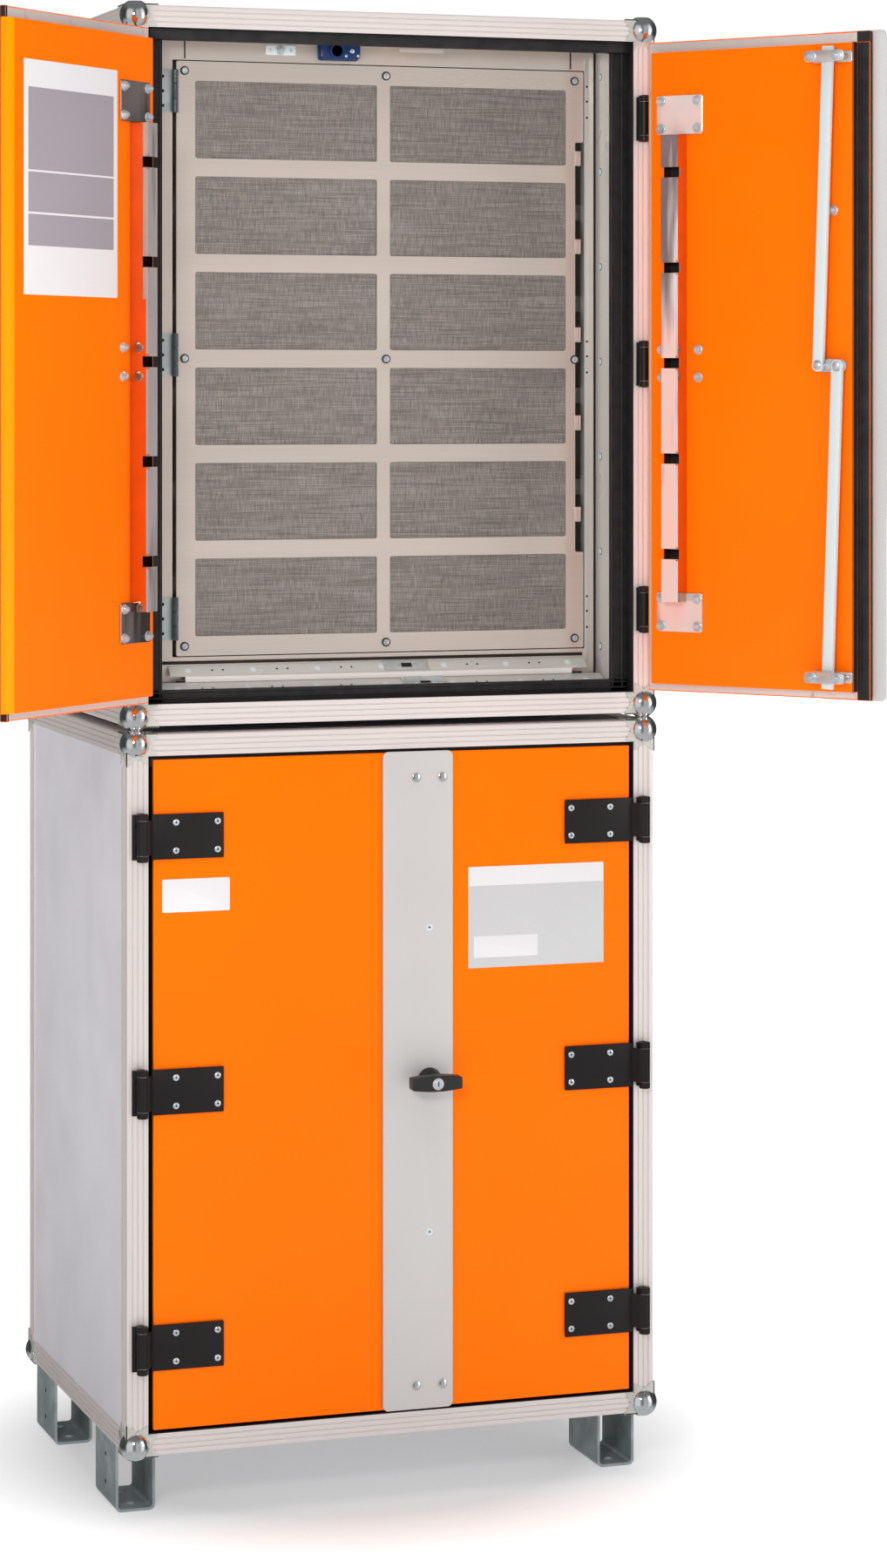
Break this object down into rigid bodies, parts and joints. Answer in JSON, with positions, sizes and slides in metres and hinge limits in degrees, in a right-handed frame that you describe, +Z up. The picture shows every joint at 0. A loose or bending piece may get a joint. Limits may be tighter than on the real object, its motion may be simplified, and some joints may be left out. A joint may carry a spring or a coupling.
{
  "type": "battery cabinet",
  "caption": "Two stacked insulated cabinets with double doors on channel feet; the upper one is open on a mesh inner door.",
  "frame": {"origin": "on the floor, at the centre of the rectangle of the four outer holes in the feet", "axes": "+X to the right of someone who faces the doors, +Y to the back, +Z up"},
  "size_m": [1.2754, 0.9638, 2.1534],
  "materials": {
    "aluminium_rail": "satin",
    "steel_corner": "satin",
    "galvanised": "satin",
    "panel_grey": "satin",
    "liner_grey": "satin",
    "door_orange": "gloss",
    "strip_grey": "satin",
    "hinge_black": "satin",
    "seal_black": "matte",
    "stainless": "satin",
    "zinc": "satin",
    "handle_black": "satin",
    "socket_blue": "satin"
  },
  "bodies": {
    "frame": {"feet": "galvanised", "ball_corners": "steel_corner", "frame_hinge_leaves": "hinge_black", "strike_plates": "zinc", "power_inlet": "socket_blue", "earth_bracket": "zinc", "upper_inner_frame": "stainless", "lower_edge_rails": "aluminium_rail", "lower_side_panels": "panel_grey", "lower_back_panel": "panel_grey", "lower_roof_and_floor": "panel_grey", "lower_liner": "liner_grey", "lower_door_seal": "seal_black", "lower_shelves": "zinc", "upper_edge_rails": "aluminium_rail", "upper_side_panels": "panel_grey", "upper_back_panel": "panel_grey", "upper_roof_and_floor": "panel_grey", "upper_liner": "liner_grey", "upper_door_seal": "seal_black", "upper_shelves": "zinc"},
    "mesh_door": {"mesh_door_frame": "stainless", "mesh_door_wire": "stainless", "mesh_door_hinges": "zinc"},
    "lower_left_door": {"lower_left_door_leaf": "door_orange", "lower_left_door_inner_panel": "door_orange", "lower_left_door_hinge_plates": "hinge_black", "lower_left_door_channel": "stainless", "lower_left_door_bolts": "zinc"},
    "lower_right_door": {"lower_right_door_leaf": "door_orange", "lower_right_door_inner_panel": "door_orange", "lower_right_door_hinge_plates": "hinge_black", "lower_right_door_channel": "stainless", "lower_right_door_bolts": "zinc", "lower_right_door_cover_strip": "strip_grey", "lower_right_door_edge_seal": "seal_black", "lower_right_door_rod_guides": "zinc"},
    "lower_handle": {"lower_lock_handle": "handle_black", "lower_lock_cam": "zinc"},
    "lower_key": {"lower_lock_key_cylinder": "zinc"},
    "lower_high_rod": {"lower_lock_rod_high": "zinc"},
    "lower_low_rod": {"lower_lock_rod_low": "zinc"},
    "upper_left_door": {"upper_left_door_leaf": "door_orange", "upper_left_door_inner_panel": "door_orange", "upper_left_door_hinge_plates": "hinge_black", "upper_left_door_channel": "stainless", "upper_left_door_bolts": "zinc"},
    "upper_right_door": {"upper_right_door_leaf": "door_orange", "upper_right_door_inner_panel": "door_orange", "upper_right_door_hinge_plates": "hinge_black", "upper_right_door_channel": "stainless", "upper_right_door_bolts": "zinc", "upper_right_door_cover_strip": "strip_grey", "upper_right_door_edge_seal": "seal_black", "upper_right_door_rod_guides": "zinc"},
    "upper_handle": {"upper_lock_handle": "handle_black", "upper_lock_cam": "zinc"},
    "upper_key": {"upper_lock_key_cylinder": "zinc"},
    "upper_high_rod": {"upper_lock_rod_high": "zinc"},
    "upper_low_rod": {"upper_lock_rod_low": "zinc"}
  },
  "joints": [
    {"name": "lower_right_door_hinge", "type": "hinge", "parent": "frame", "child": "lower_right_door", "pos_m": [0.38, -0.3375, 0.607], "axis": [0, 0, 1], "range_deg": [0, 120]},
    {"name": "lower_left_door_hinge", "type": "hinge", "parent": "frame", "child": "lower_left_door", "pos_m": [-0.38, -0.3375, 0.607], "axis": [0, 0, -1], "range_deg": [0, 102]},
    {"name": "lower_handle_turn", "type": "hinge", "parent": "lower_right_door", "child": "lower_handle", "pos_m": [0.049, -0.3245, 0.607], "axis": [0, -1, 0], "range_deg": [0, 90]},
    {"name": "lower_key_turn", "type": "hinge", "parent": "lower_handle", "child": "lower_key", "pos_m": [0.049, -0.3245, 0.607], "axis": [0, -1, 0], "range_deg": [0, 90]},
    {"name": "lower_high_rod_pivot", "type": "hinge", "parent": "lower_handle", "child": "lower_high_rod", "pos_m": [0.064, -0.2835, 0.607], "axis": [0, -1, 0], "range_deg": [-91.98, 0]},
    {"name": "lower_low_rod_pivot", "type": "hinge", "parent": "lower_handle", "child": "lower_low_rod", "pos_m": [0.034, -0.2835, 0.607], "axis": [0, -1, 0], "range_deg": [-91.96, 0]},
    {"name": "upper_right_door_hinge", "type": "hinge", "parent": "frame", "child": "upper_right_door", "pos_m": [0.38, -0.3375, 1.638], "axis": [0, 0, 1], "range_deg": [-128, 42]},
    {"name": "upper_left_door_hinge", "type": "hinge", "parent": "frame", "child": "upper_left_door", "pos_m": [-0.38, -0.3375, 1.638], "axis": [0, 0, -1], "range_deg": [-136.5, 33.5]},
    {"name": "upper_handle_turn", "type": "hinge", "parent": "upper_right_door", "child": "upper_handle", "pos_m": [0.57354, -0.60633, 1.638], "axis": [0.788, 0.6157, 0], "range_deg": [0, 90]},
    {"name": "upper_key_turn", "type": "hinge", "parent": "upper_handle", "child": "upper_key", "pos_m": [0.57354, -0.60633, 1.638], "axis": [0.788, 0.6157, 0], "range_deg": [0, 90]},
    {"name": "upper_high_rod_pivot", "type": "hinge", "parent": "upper_handle", "child": "upper_high_rod", "pos_m": [0.532, -0.61976, 1.638], "axis": [0.788, 0.6157, 0], "range_deg": [-91.98, 0]},
    {"name": "upper_low_rod_pivot", "type": "hinge", "parent": "upper_handle", "child": "upper_low_rod", "pos_m": [0.55047, -0.6434, 1.638], "axis": [0.788, 0.6157, 0], "range_deg": [-91.96, 0]},
    {"name": "mesh_door_hinge", "type": "hinge", "parent": "frame", "child": "mesh_door", "pos_m": [-0.309, -0.2495, 1.649], "axis": [0, 0, -1], "range_deg": [0, 95]}
  ],
  "couplings": [
    {"joint": "lower_left_door_hinge", "follows": "lower_right_door_hinge", "ratio": 0.85},
    {"joint": "lower_high_rod_pivot", "follows": "lower_handle_turn", "ratio": -1.0218},
    {"joint": "lower_low_rod_pivot", "follows": "lower_handle_turn", "ratio": -1.0216},
    {"joint": "upper_high_rod_pivot", "follows": "upper_handle_turn", "ratio": -1.0218},
    {"joint": "upper_low_rod_pivot", "follows": "upper_handle_turn", "ratio": -1.0216}
  ]
}
